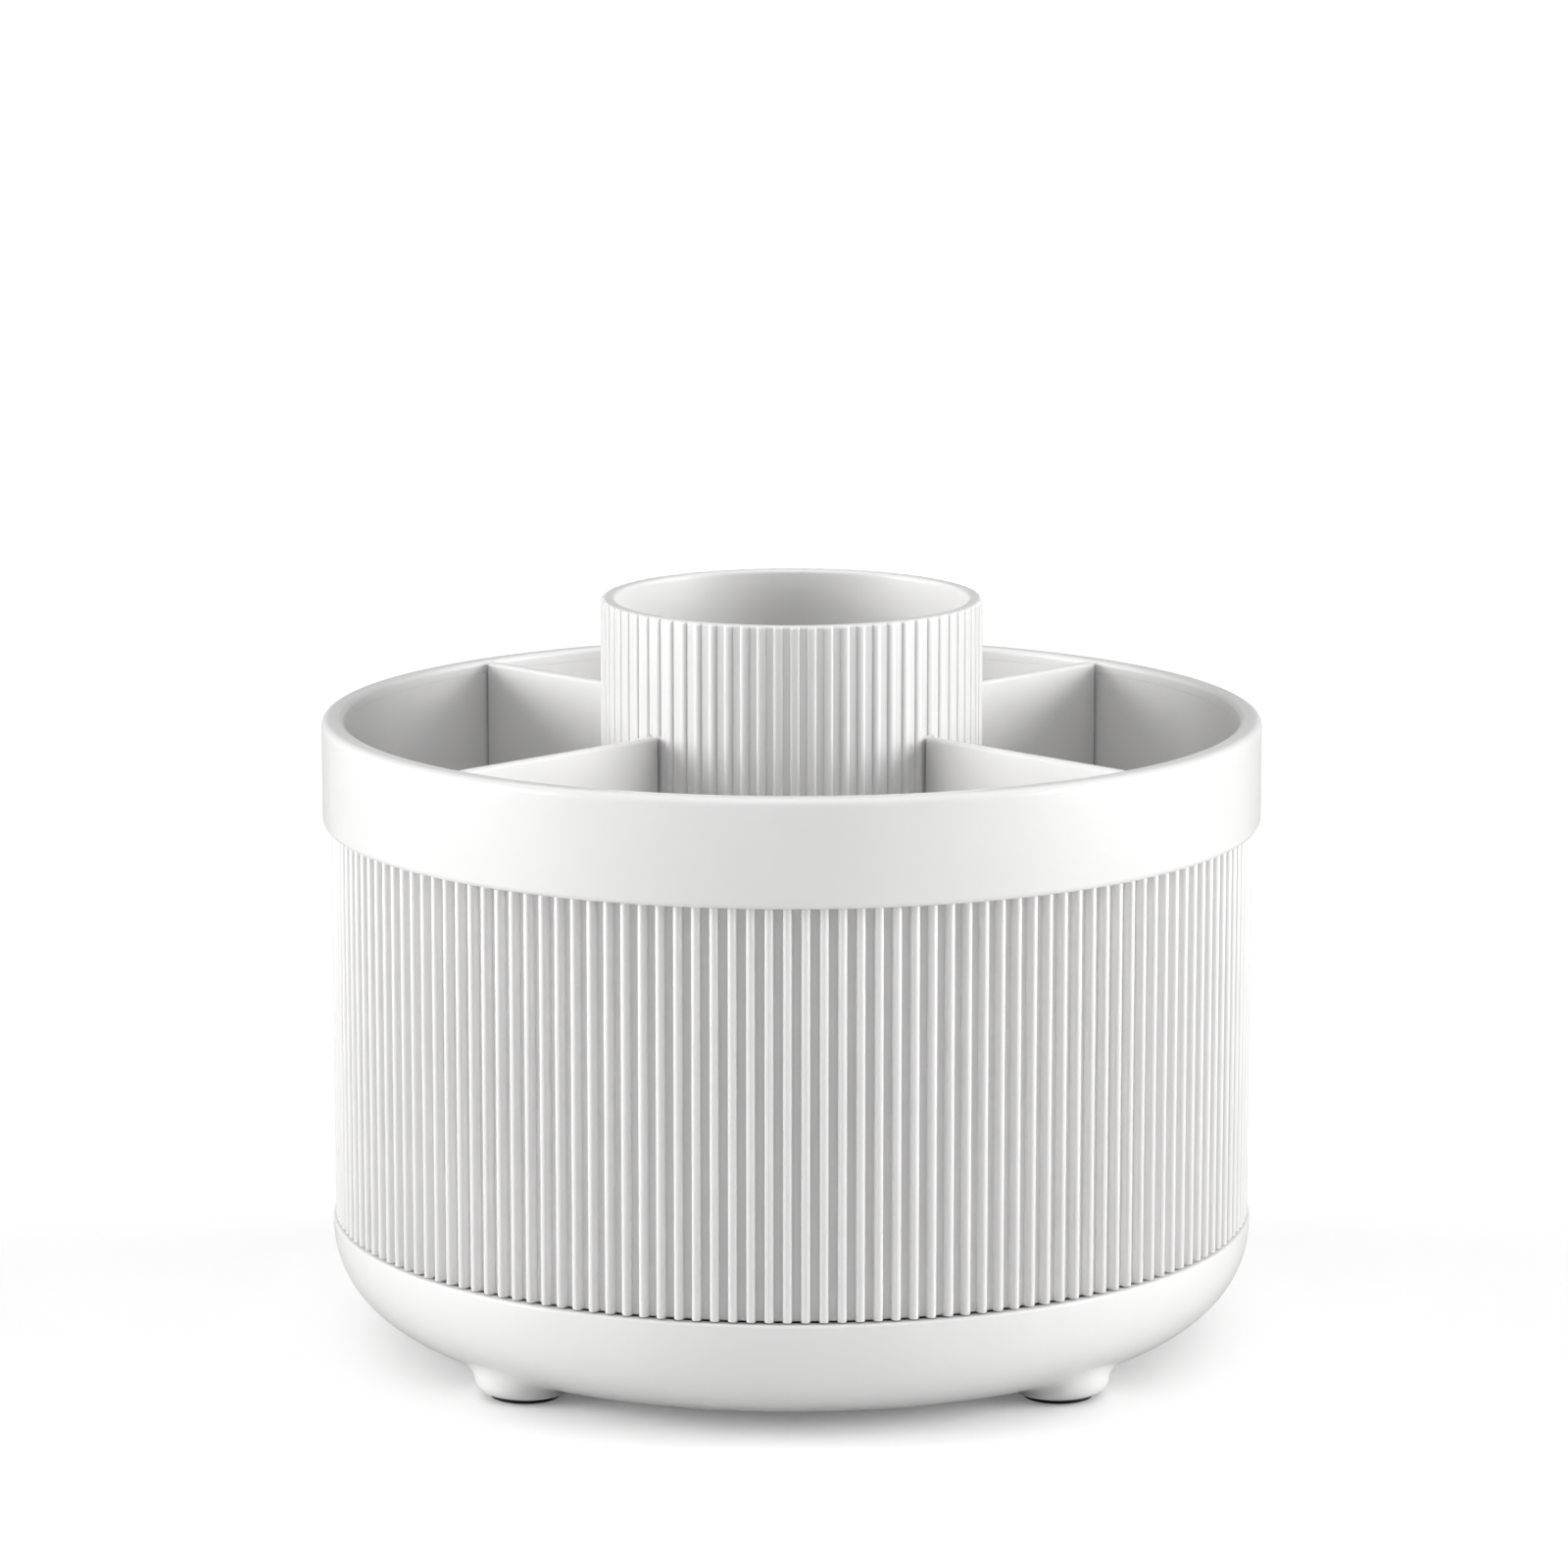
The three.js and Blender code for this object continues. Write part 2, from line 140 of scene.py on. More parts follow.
def spun(name, profile, angles, bump=None):
    """A closed solid of revolution. profile goes out, up and back as (r, z), or as (wall r, tip r, z) with
    ribs, where bump is 0 on the wall and 1 on a rib's tip at each angle. A profile that starts and ends on
    the axis is capped there."""
    angles = np.asarray(angles)
    bump = np.zeros(len(angles)) if bump is None else np.asarray(bump)
    verts, rings = [], []
    for row in profile:
        wall, tip, z = row if len(row) == 3 else (row[0], row[0], row[1])
        if wall <= ON_AXIS:
            rings.append([len(verts)])
            verts.append((0, 0, z))
            continue
        radius = wall + (tip - wall) * bump
        rings.append(list(range(len(verts), len(verts) + len(angles))))
        verts += list(zip(radius * np.cos(angles), radius * np.sin(angles), np.full(len(angles), z)))
    pairs = list(zip(rings, rings[1:]))
    if len(rings[0]) > 1:
        pairs.append((rings[-1], rings[0]))
    faces = []
    count = len(angles)
    for a, b in pairs:
        for j in range(count):
            k = (j + 1) % count
            if len(a) == 1:
                faces.append((a[0], b[k], b[j]))
            elif len(b) == 1:
                faces.append((a[j], a[k], b[0]))
            else:
                faces.append((a[j], a[k], b[k], b[j]))
    return mesh_object(name, verts, faces)


def circle(count):
    return np.arange(count) * 2 * math.pi / count


def ribbed_angles(kind, wall, tip, samples=8, groove=2):
    """Angles round a ribbed wall, and how far up its rib each one stands, from 0 to 1. A rib has a round
    tip, and straight sides below it where the rib is taller than its tip is round."""
    count, width, first = RIBS[kind]
    pitch = 2 * math.pi / count
    half = width / 2 / wall
    straight = max(0.0, 1 - width / 2 / (tip - wall))
    turns, bumps = ([-half], [0.0]) if straight else ([], [])
    cap = half * RIB_DRAFT if straight else half
    for k in range(samples + 1):
        turns.append(-cap * math.cos(math.pi * k / samples))
        bumps.append(straight + (1 - straight) * math.sin(math.pi * k / samples))
    if straight:
        turns.append(half)
        bumps.append(0.0)
    for k in range(groove):
        turns.append(half + (pitch - 2 * half) * (k + 1) / (groove + 1))
        bumps.append(0.0)
    start = math.radians(first)
    angles = np.concatenate([start + i * pitch + np.array(turns) for i in range(count)])
    return angles, np.tile(bumps, count)


def combined(obj, others, operation):
    """obj joined with or cut by the others, which are used up."""
    for other in others:
        modifier = obj.modifiers.new("cut", "BOOLEAN")
        modifier.operation = operation
        modifier.solver = "EXACT"
        modifier.object = other
    bpy.context.view_layer.update()
    done = bpy.data.meshes.new_from_object(obj.evaluated_get(bpy.context.evaluated_depsgraph_get()))
    obj.modifiers.clear()
    old = obj.data
    obj.data = done
    done.name = old.name
    bpy.data.meshes.remove(old)
    for other in others:
        bpy.data.objects.remove(other)
    return obj


def crisp(obj):
    """Cleans a mesh that booleans have cut, and marks its creases again."""
    bm = bmesh.new()
    bm.from_mesh(obj.data)
    bmesh.ops.remove_doubles(bm, verts=bm.verts, dist=WELD * MM)
    bmesh.ops.dissolve_degenerate(bm, edges=bm.edges, dist=SLIVER * MM)
    bm.to_mesh(obj.data)
    bm.free()
    obj.data.shade_smooth()
    obj.data.set_sharp_from_angle(angle=math.radians(CREASE))
    return obj


def joined(name, objects):
    """One object out of several that don't touch."""
    verts, faces = [], []
    for obj in objects:
        base = len(verts)
        verts += [tuple(obj.matrix_world @ v.co / MM) for v in obj.data.vertices]
        faces += [tuple(base + i for i in p.vertices) for p in obj.data.polygons]
        bpy.data.objects.remove(obj)
    return mesh_object(name, verts, faces)


def moved(obj, x=0.0, y=0.0, z=0.0, degrees=0.0):
    """Moves an object's mesh out along X, Y and Z in millimetres, then turns it about the origin's Z axis."""
    turn = Matrix.Rotation(math.radians(degrees), 4, "Z") @ Matrix.Translation(Vector((x, y, z)) * MM)
    obj.data.transform(turn)
    return obj


def rod(radius, bottom, top, x=0.0, degrees=0.0, count=48):
    profile = [(0, bottom), (radius, bottom), (radius, top), (0, top)]
    return moved(spun("rod", profile, circle(count)), x=x, degrees=degrees)


def from_bmesh(name, bm):
    mesh = bpy.data.meshes.new(name)
    bm.to_mesh(mesh)
    bm.free()
    obj = bpy.data.objects.new(name, mesh)
    scene.collection.objects.link(obj)
    return obj


def box(length, width, bottom, top, x=0.0, degrees=0.0, bevel=0.0, steps=3):
    bm = bmesh.new()
    bmesh.ops.create_cube(bm, size=1.0)
    size = Vector((length, width, top - bottom)) * MM
    bmesh.ops.scale(bm, verts=bm.verts, vec=size)
    bmesh.ops.translate(bm, verts=bm.verts, vec=Vector((0, 0, (bottom + top) / 2)) * MM)
    if bevel:
        bmesh.ops.bevel(bm, geom=bm.edges, offset=bevel * MM, segments=steps, profile=0.5, affect="EDGES")
    return moved(from_bmesh("box", bm), x=x, degrees=degrees)


# ---- Materials ----
IOR = 1.5
CLOUDS, SMUDGES = 38.0, 120.0  # noise scales: of the colour, and of the roughness
GRAIN_DEPTH = 0.02
NOISE_LOW, NOISE_HIGH = 0.3, 0.7  # the part of a noise's range where most of its values are


def material(
        name, color, roughness, spread, grain, bump, metallic=0.0, coat=0.0, coat_roughness=0.1, tint=0.02):
    """A moulded or plated surface: fine grain in its height, uneven roughness and a cloudy trace of tint.
    The roughness varies by spread either way, and grain is the noise scale of the height."""
    mat = bpy.data.materials.new(name)
    mat.use_nodes = True
    nodes, links = mat.node_tree.nodes, mat.node_tree.links
    shader = nodes["Principled BSDF"]
    shader.inputs["Metallic"].default_value = metallic
    shader.inputs["IOR"].default_value = IOR
    shader.inputs["Coat Weight"].default_value = coat
    shader.inputs["Coat Roughness"].default_value = coat_roughness
    coords = nodes.new("ShaderNodeTexCoord")

    def noise(scale, detail, rough=0.5):
        node = nodes.new("ShaderNodeTexNoise")
        node.inputs["Scale"].default_value = scale
        node.inputs["Detail"].default_value = detail
        node.inputs["Roughness"].default_value = rough
        links.new(coords.outputs["Object"], node.inputs["Vector"])
        return node.outputs["Fac"]

    def ranged(value, start, end):
        node = nodes.new("ShaderNodeMapRange")
        node.inputs["From Min"].default_value = NOISE_LOW
        node.inputs["From Max"].default_value = NOISE_HIGH
        node.inputs["To Min"].default_value = start
        node.inputs["To Max"].default_value = end
        links.new(value, node.inputs["Value"])
        return node.outputs["Result"]

    clouds = noise(CLOUDS, 3.0)
    ramp = nodes.new("ShaderNodeValToRGB")
    ramp.color_ramp.elements[0].position = NOISE_LOW
    ramp.color_ramp.elements[1].position = NOISE_HIGH
    ramp.color_ramp.elements[0].color = (*[c * (1 - tint) for c in color], 1)
    ramp.color_ramp.elements[1].color = (*[min(1.0, c * (1 + tint)) for c in color], 1)
    links.new(clouds, ramp.inputs["Fac"])
    links.new(ramp.outputs["Color"], shader.inputs["Base Color"])
    uneven = ranged(noise(SMUDGES, 4.0), roughness - spread, roughness + spread)
    links.new(uneven, shader.inputs["Roughness"])
    height = nodes.new("ShaderNodeBump")
    height.inputs["Strength"].default_value = bump
    height.inputs["Distance"].default_value = GRAIN_DEPTH * MM
    links.new(noise(grain, 2.0, 0.6), height.inputs["Height"])
    links.new(height.outputs["Normal"], shader.inputs["Normal"])
    return mat


WHITE = (0.8, 0.795, 0.792)
MATERIALS = {  # name, colour, roughness and its spread, grain, bump
    "gloss_white": material(
        "white_gloss_plastic", WHITE, 0.36, 0.03, 5200.0, 0.06, coat=0.15, coat_roughness=0.2),
    "satin_white": material("white_satin_plastic", WHITE, 0.45, 0.04, 2200.0, 0.35),
    "natural_nylon": material("natural_nylon", (0.72, 0.68, 0.59), 0.5, 0.05, 1800.0, 0.4, tint=0.04),
    "black_rubber": material("black_rubber", (0.012, 0.012, 0.013), 0.72, 0.06, 3200.0, 0.6, tint=0.15),
    "zinc_steel": material(
        "zinc_plated_steel", (0.56, 0.57, 0.60), 0.34, 0.08, 3000.0, 0.4, metallic=1.0, tint=0.06),
    "ball_steel": material(
        "bearing_steel", (0.62, 0.63, 0.65), 0.14, 0.03, 4000.0, 0.1, metallic=1.0, tint=0.03),
}
SLOT_OF = {part["node"]: part["material_slot"] for part in frame["record"]["subparts"]}
BODY_OF = {node: body for body, nodes in frame["record"]["behaviour"]["bodies"].items() for node in nodes}


def finished(obj, node):
    """obj stands for that CAD node: it rides on its body and wears its material."""
    obj.name = node + "_visual"
    obj.data.materials.clear()
    obj.data.materials.append(MATERIALS[SLOT_OF[node]])
    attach(obj, BODY_OF[node])
    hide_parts(node)
    return obj


# ---- Base ----
# The radius of the flat bottom, the height where the edge stands upright, and the wall.
BOWL_FLAT, BOWL_TURN, BOWL_WALL = 50.0, 20.8, 2.2
BOWL_ACROSS, BOWL_DOWN = 2.41, 2.2  # exponents of the superellipse between the two


def bowl_curve(inset, steps):
    """The bowl's section from its flat bottom to its upright edge, inset from the outside."""
    outer, bottom = BOWL_R - inset, BOWL_BOTTOM + inset
    curve = []
    for i in range(steps + 1):
        turn = (1 - i / steps) * math.pi / 2
        across = math.cos(turn) ** (2 / BOWL_ACROSS) if i else 0.0
        down = math.sin(turn) ** (2 / BOWL_DOWN)
        curve.append((BOWL_FLAT + (outer - BOWL_FLAT) * across, BOWL_TURN - (BOWL_TURN - bottom) * down))
    return curve


def bowl_height(radius):
    """How high the bowl's outside is at a radius."""
    across = max(0.0, (radius - BOWL_FLAT) / (BOWL_R - BOWL_FLAT))
    turn = math.acos(min(1.0, across ** (BOWL_ACROSS / 2)))
    return BOWL_TURN - (BOWL_TURN - BOWL_BOTTOM) * math.sin(turn) ** (2 / BOWL_DOWN)


HUB_R, HUB_TOP, HUB_HOLE = 12.0, 6.5, 4.3
RECESS_R, RECESS_TOP = 10.0, 4.5
RAIL_TOP = low("lower_race")[2] - 0.1
RAILS = ((52.4, 50.8), (45.8, 44.2))  # outer and inner radius
INSIDE_CURVE_END = 53.0
LEAD_IN = 55  # a first point that only gives the next corner its direction
inside_floor = BOWL_BOTTOM + BOWL_WALL
rails = []
for outer, inner in RAILS:
    rails += [(outer, inside_floor, 0), (outer, RAIL_TOP, 0.3)]
    rails += [(inner, RAIL_TOP, 0.3), (inner, inside_floor, 0)]
bowl_inside = [p for p in reversed(bowl_curve(BOWL_WALL, 24)) if p[0] > INSIDE_CURVE_END]
recess = rounded([
    (HUB_HOLE, RECESS_TOP, 0.2), (RECESS_R, RECESS_TOP, 0), (RECESS_R, BOWL_BOTTOM, 0.4),
    (BOWL_FLAT - 6, BOWL_BOTTOM, 0),
], closed=False)
bowl_edge = rounded([
    (BOWL_R, BOWL_TURN, 0), (BOWL_R, BOWL_TOP, 0.45), (BOWL_R - BOWL_WALL, BOWL_TOP, 0.3),
    (BOWL_R - BOWL_WALL, BOWL_TURN, 0),
], 5, closed=False)
hub = [(HUB_R, inside_floor, 0), (HUB_R, HUB_TOP, 0.4), (HUB_HOLE, HUB_TOP, 0.2)]
rails_and_hub = rounded([(LEAD_IN, inside_floor, 0)] + rails + hub, 3, closed=False)
bowl_profile = recess + bowl_curve(0, 44) + bowl_edge[1:-1] + bowl_inside + rails_and_hub[1:]
bowl = spun("base_bowl", bowl_profile, circle(320))

FOOT_R, FOOT_TOE, FOOT_BOTTOM, FOOT_KNEE = 8.6, 6.65, 0.9, 3.4  # the side rounds in to the toe below the knee
# The fillet's radius as a part of the room under the bowl, its limits, and the rounds that settle it there.
FILLET_PART, FILLET_LEAST, FILLET_MOST, FILLET_ROUNDS = 0.95, 0.06, 3.6, 8
STEEPEST, NEAR = 1.5, 0.05  # the slope of the bowl that a fillet follows, and how far apart it is measured
ROOT, EDGE_ROOT = 1.1, 0.9  # how far the foot reaches up into the bowl's wall, and at the foot's edge
PAD_R, PAD_TOP = 6.0, high("foot_pad_front_left")[2]
POCKET_R, POCKET_BEVEL = PAD_R + GAP, 0.12
POCKET_TOP = PAD_TOP + 0.1
POCKET_CLEAR = 0.02  # the pocket's cutter stands off the foot's own pocket, so that no two faces coincide


def foot_solid(count=120, arc=9):
    """A foot with its middle at (FOOT_CIRCLE, 0): a hollow toe, a rounded side, a fillet up onto the bowl."""
    rows = []
    for turn in circle(count):
        ray = np.array([math.cos(turn), math.sin(turn)])

        def under(distance):
            x, y = np.array([FOOT_CIRCLE, 0.0]) + ray * distance
            return bowl_height(math.hypot(x, y))

        def side(z):
            """How far out the foot's side is at a height, below the fillet."""
            if z >= FOOT_KNEE:
                return FOOT_R
            lift = (FOOT_KNEE - max(z, FOOT_BOTTOM)) / (FOOT_KNEE - FOOT_BOTTOM)
            return FOOT_TOE + (FOOT_R - FOOT_TOE) * math.sqrt(max(0.0, 1 - lift * lift))

        fillet = float(np.clip((under(FOOT_R) - FOOT_BOTTOM) * FILLET_PART, FILLET_LEAST, FILLET_MOST))
        wall = FOOT_R
        for _ in range(FILLET_ROUNDS):
            reach = wall + fillet
            slope = (under(reach + NEAR) - under(reach - NEAR)) / (2 * NEAR)
            slope = float(np.clip(slope, -STEEPEST, STEEPEST))
            stretch = math.sqrt(1 + slope * slope)
            contact = reach - fillet * slope / stretch
            centre_z = under(contact) - fillet / stretch
            wall = side(centre_z)
        row = [
            (0.0, under(0.0) + ROOT), (contact * 0.5, under(contact * 0.5) + ROOT),
            (contact, under(contact) + EDGE_ROOT),
        ]
        first = math.atan2(1, -slope)
        for k in range(arc + 1):
            angle = first + (math.pi - first) * k / arc
            row.append((wall + fillet + fillet * math.cos(angle), centre_z + fillet * math.sin(angle)))
        top = min(centre_z, FOOT_KNEE)
        for k in range(1, arc + 1):
            t = k / arc
            z = FOOT_BOTTOM + (top - FOOT_BOTTOM) * (math.cos(t * math.pi / 2) if top >= FOOT_KNEE else 1 - t)
            row.append((side(z), z))
        row += [
            (POCKET_R + POCKET_BEVEL, FOOT_BOTTOM), (POCKET_R, FOOT_BOTTOM + POCKET_BEVEL),
            (POCKET_R, POCKET_TOP), (0.0, POCKET_TOP),
        ]
        rows.append([(FOOT_CIRCLE + ray[0] * d, ray[1] * d, z) for d, z in row])
    length = len(rows[0])
    verts = [rows[0][0], rows[0][-1]]
    for row in rows:
        verts += row[1:-1]
    inner = length - 2

    def at(i, k):
        return 2 + (i % count) * inner + k

    faces = []
    for i in range(count):
        faces.append((0, at(i, 0), at(i + 1, 0)))
        faces.append((1, at(i + 1, inner - 1), at(i, inner - 1)))
        for k in range(inner - 1):
            faces.append((at(i, k), at(i, k + 1), at(i + 1, k + 1), at(i + 1, k)))
    return mesh_object("foot", verts, faces)


POST_R, POST_HOLE_BOTTOM = 3.4, 8.6
feet = [moved(foot_solid(), degrees=d) for d in DIAGONALS]
posts = [rod(POST_R, BOWL_BOTTOM + PAST, RAIL_TOP, x=SCREW_CIRCLE, degrees=d, count=32) for d in AXES]
combined(bowl, [joined("feet", feet), joined("posts", posts)], "UNION")
pockets = [
    rod(POCKET_R + POCKET_CLEAR, -PAST, POCKET_TOP + POCKET_CLEAR, x=FOOT_CIRCLE, degrees=d, count=120)
    for d in DIAGONALS
]
screw_holes = [
    rod(SCREW_HOLE, POST_HOLE_BOTTOM, RAIL_TOP + 2 * PAST, x=SCREW_CIRCLE, degrees=d, count=24)
    for d in AXES
]
combined(bowl, [joined("pockets", pockets), joined("holes", screw_holes)], "DIFFERENCE")
finished(crisp(bowl), "base_bowl")

for side in ("front_left", "front_right", "rear_right", "rear_left"):
    node = f"foot_pad_{side}"
    profile = rounded([(0, 0, 0), (PAD_R, 0, 0.45), (PAD_R, PAD_TOP, 0.15), (0, PAD_TOP, 0)], 5, closed=False)
    pad = spun(node, profile, circle(96))
    finished(moved(pad, x=middle(node)[0], y=middle(node)[1]), node)

# ---- Bearing ----
RACE_INNER, RACE_OUTER, GROOVE_R = 37.5, high("lower_race")[0], 2.8
GROOVE_STEPS = 12


def race(node, side):
    """A ring with a round groove for the balls, and four counterbored screw holes. side is -1 below the
    balls and 1 above them."""
    face = low(node)[2] if side > 0 else high(node)[2]
    back = high(node)[2] if side > 0 else low(node)[2]
    half = math.acos(abs(face - BALL_Z) / GROOVE_R)
    groove = []
    for k in range(GROOVE_STEPS + 1):
        turn = half - 2 * half * k / GROOVE_STEPS
        groove.append((BALL_CIRCLE + GROOVE_R * math.sin(turn), BALL_Z + side * GROOVE_R * math.cos(turn)))
    outline = [(RACE_INNER, back), (RACE_OUTER, back), (RACE_OUTER, face)] + groove + [(RACE_INNER, face)]
    if side > 0:
        outline = outline[::-1]
    ring = spun(node, outline, circle(192))
    counterbore = sorted((face + side * (HEAD_HEIGHT + GAP), face - side * PAST))
    cuts = [rod(SCREW_HEAD + GAP, *counterbore, x=SCREW_CIRCLE, degrees=d, count=32) for d in AXES]
    combined(ring, [joined("heads", cuts)], "DIFFERENCE")
    through = (min(face, back) - PAST, max(face, back) + PAST)
    cuts = [rod(SCREW_SHANK + GAP, *through, x=SCREW_CIRCLE, degrees=d, count=24) for d in AXES]
    combined(ring, [joined("shanks", cuts)], "DIFFERENCE")
    finished(crisp(ring), node)


race("lower_race", -1)
race("upper_race", 1)

ball_nodes = [n for n in frame["nodes"] if n.startswith("bearing_ball_")]
BALL_R = 2.5
for node in ball_nodes:
    bm = bmesh.new()
    bmesh.ops.create_icosphere(bm, subdivisions=4, radius=BALL_R * MM)
    ball = from_bmesh(node, bm)
    ball.data.shade_smooth()
    turn = math.atan2(middle(node)[1], middle(node)[0])
    x, y = BALL_CIRCLE * math.cos(turn), BALL_CIRCLE * math.sin(turn)
    finished(moved(ball, x=x, y=y, z=BALL_Z), node)

cage_low, cage_high, cage_outer = low("ball_cage")[2], high("ball_cage")[2], high("ball_cage")[0]
CAGE_INNER, CAGE_PLAY = 43.4, 0.39
cage_corners = [
    (CAGE_INNER, cage_low), (cage_outer, cage_low), (cage_outer, cage_high), (CAGE_INNER, cage_high),
]
cage = spun("ball_cage", rounded([(r, z, 0.25) for r, z in cage_corners], 3), circle(192))
ball_step = 360 / len(ball_nodes)
ball_holes = [
    rod(BALL_R + CAGE_PLAY, cage_low - PAST, cage_high + PAST, x=BALL_CIRCLE, degrees=ball_step * i)
    for i in range(len(ball_nodes))
]
combined(cage, [joined("ball_holes", ball_holes)], "DIFFERENCE")
finished(crisp(cage), "ball_cage")


THREAD_ROOT, THREAD_PITCH = 0.78, 0.7  # as parts of the shank's radius


def screw(node, shank, head, head_height, head_up=False):
    """A pan-head screw with a cross recess, a threaded shank and a point. Its head is down, or up where
    head_up."""
    root, pitch = shank * THREAD_ROOT, shank * THREAD_PITCH
    bottom, top = low(node)[2], high(node)[2]
    if head_up:
        bottom, top = -top, -bottom
    seat = bottom + head_height
    corners = [
        (0, bottom, 0), (head * 0.62, bottom, 0.3), (head, bottom + head_height * 0.55, 0.4),
        (head, seat, 0.12), (root, seat, 0.1),
    ]
    profile = rounded(corners, 4, closed=False)
    z = seat + 0.4
    while z < top - shank - pitch:
        profile += [(root, z), (shank, z + pitch * 0.42), (shank, z + pitch * 0.52), (root, z + pitch * 0.92)]
        z += pitch
    profile += [(root, top - shank), (0, top)]
    obj = spun(node, profile, circle(48))
    slot = head * 0.2
    cross = [box(head * 1.05, slot, bottom - PAST, bottom + head_height * 0.6, degrees=d) for d in (0, 90)]
    combined(obj, cross[:1], "DIFFERENCE")
    combined(obj, cross[1:], "DIFFERENCE")
    if head_up:
        obj.data.transform(Matrix.Rotation(math.pi, 4, "X"))
    finished(crisp(moved(obj, x=middle(node)[0], y=middle(node)[1])), node)


for i in range(1, 5):
    screw(f"lower_race_screw_{i}", SCREW_SHANK, SCREW_HEAD, HEAD_HEIGHT, head_up=True)
    screw(f"upper_race_screw_{i}", SCREW_SHANK, SCREW_HEAD, HEAD_HEIGHT)
    screw(f"cup_screw_{i}", SCREW_SHANK, SCREW_HEAD, HEAD_HEIGHT)
screw("pivot_screw", 1.7, 3.6, 1.2)

PIVOT_HOLE, WASHER_R = 2.0, 8.0
washer_low, washer_high = low("pivot_washer")[2], high("pivot_washer")[2]
washer_corners = [
    (PIVOT_HOLE, washer_low), (WASHER_R, washer_low), (WASHER_R, washer_high), (PIVOT_HOLE, washer_high),
]
washer = spun("pivot_washer", rounded([(r, z, 0.2) for r, z in washer_corners], 3), circle(96))
finished(washer, "pivot_washer")

# ---- Floor ----
TAB, TAB_THICK, TAB_AT = 10.0, 1.4, (42.0, 62.0)
BOSS_R = 4.0
SKIN = 0.9  # what is left of the floor above the race's screw holes
floor_corners = [
    (0, BOSS_BOTTOM, 0), (BOSS_R, BOSS_BOTTOM, 0.3), (BOSS_R, FLOOR_BOTTOM, 1.2),
    (FLOOR_R, FLOOR_BOTTOM, 0.3), (FLOOR_R, FLOOR_TOP, 0.5), (0, FLOOR_TOP, 0),
]
floor = spun("floor_plate", rounded(floor_corners, 5, closed=False), circle(256))
slots = [
    box(TAB + 2 * GAP, TAB_THICK + 2 * GAP, 0, TALL, x=r, degrees=d) for d in DIAGONALS for r in TAB_AT
]
combined(floor, [joined("slots", slots)], "DIFFERENCE")
holes = [rod(SCREW_HOLE, 0, TALL, x=CUP_SCREW_CIRCLE, degrees=d, count=24) for d in AXES]
holes += [rod(SCREW_HOLE, 0, FLOOR_TOP - SKIN, x=SCREW_CIRCLE, degrees=d, count=24) for d in AXES]
holes.append(rod(PIVOT_HOLE, 0, high("pivot_screw")[2] + PAST, count=32))
combined(floor, [joined("holes", holes)], "DIFFERENCE")
finished(crisp(floor), "floor_plate")

# ---- Drum ----
LEDGE_INNER, LEDGE_TOP = 74.5, FLOOR_BOTTOM - 0.1
rib_top = RIM_BOTTOM - 0.1
sleeve_profile = [
    (LEDGE_INNER, LEDGE_INNER, SLEEVE_BOTTOM + 0.3),
    (LEDGE_INNER + 0.3, LEDGE_INNER + 0.3, SLEEVE_BOTTOM),
    (DRUM_WALL - 0.1, SLEEVE_TIP - 0.2, SLEEVE_BOTTOM),
    (DRUM_WALL - 0.03, SLEEVE_TIP - 0.06, SLEEVE_BOTTOM + 0.06),
    (DRUM_WALL, SLEEVE_TIP, SLEEVE_BOTTOM + 0.2),
    (DRUM_WALL, SLEEVE_TIP, rib_top - 0.3),
    (DRUM_WALL, SLEEVE_TIP - 0.12, rib_top),
    (DRUM_WALL, DRUM_WALL, rib_top + 0.02),
    (DRUM_WALL, DRUM_WALL, SLEEVE_TOP - 0.2),
    (DRUM_WALL - 0.2, DRUM_WALL - 0.2, SLEEVE_TOP),
    (DRUM_INNER + 0.03, DRUM_INNER + 0.03, SLEEVE_TOP),
    (DRUM_INNER, DRUM_INNER, SLEEVE_TOP - 0.03),
    (DRUM_INNER, DRUM_INNER, LEDGE_TOP + 0.3),
    (DRUM_INNER - 0.3, DRUM_INNER - 0.3, LEDGE_TOP),
    (LEDGE_INNER + 0.3, LEDGE_INNER + 0.3, LEDGE_TOP),
    (LEDGE_INNER, LEDGE_INNER, LEDGE_TOP - 0.3),
]
angles, bumps = ribbed_angles("drum", DRUM_WALL, SLEEVE_TIP)
finished(spun("ribbed_sleeve", sleeve_profile, angles, bumps), "ribbed_sleeve")

SKIRT = DRUM_WALL + GAP
lip_bottom = SLEEVE_TOP + 0.02
collar_corners = [
    (SKIRT, RIM_BOTTOM, 0.2), (RIM_R, RIM_BOTTOM, 1.0), (RIM_R, RIM_TOP, 1.3), (DRUM_INNER, RIM_TOP, 0.8),
    (DRUM_INNER, lip_bottom, 0.03), (SKIRT, lip_bottom, 0.3),
]
finished(spun("rim_collar", rounded(collar_corners, 10), circle(384)), "rim_collar")

# ---- Cup ----
cup_floor_top = CUP_BOTTOM + CUP_FLOOR
panel_top = high("partition_front_left")[2]
CHANNEL_DEEP, CHANNEL_WIDE = 2.0, 2.6  # where a partition's edge enters the cup
cup_groove = CUP_WALL + 0.15  # the grooves are a little shallower than in the CAD
cup_outside = [
    (CUP_WALL - 0.4, CUP_WALL - 0.4, CUP_BOTTOM),
    (cup_groove, CUP_TIP, CUP_BOTTOM + 0.4),
    (cup_groove, CUP_TIP, CUP_TOP - 0.65),
    (cup_groove - 0.03, CUP_TIP - 0.04, CUP_TOP - 0.42),
    (cup_groove - 0.12, CUP_TIP - 0.16, CUP_TOP - 0.2),
    (cup_groove - 0.3, CUP_TIP - 0.38, CUP_TOP - 0.05),
    (cup_groove - 0.55, CUP_TIP - 0.65, CUP_TOP),
]
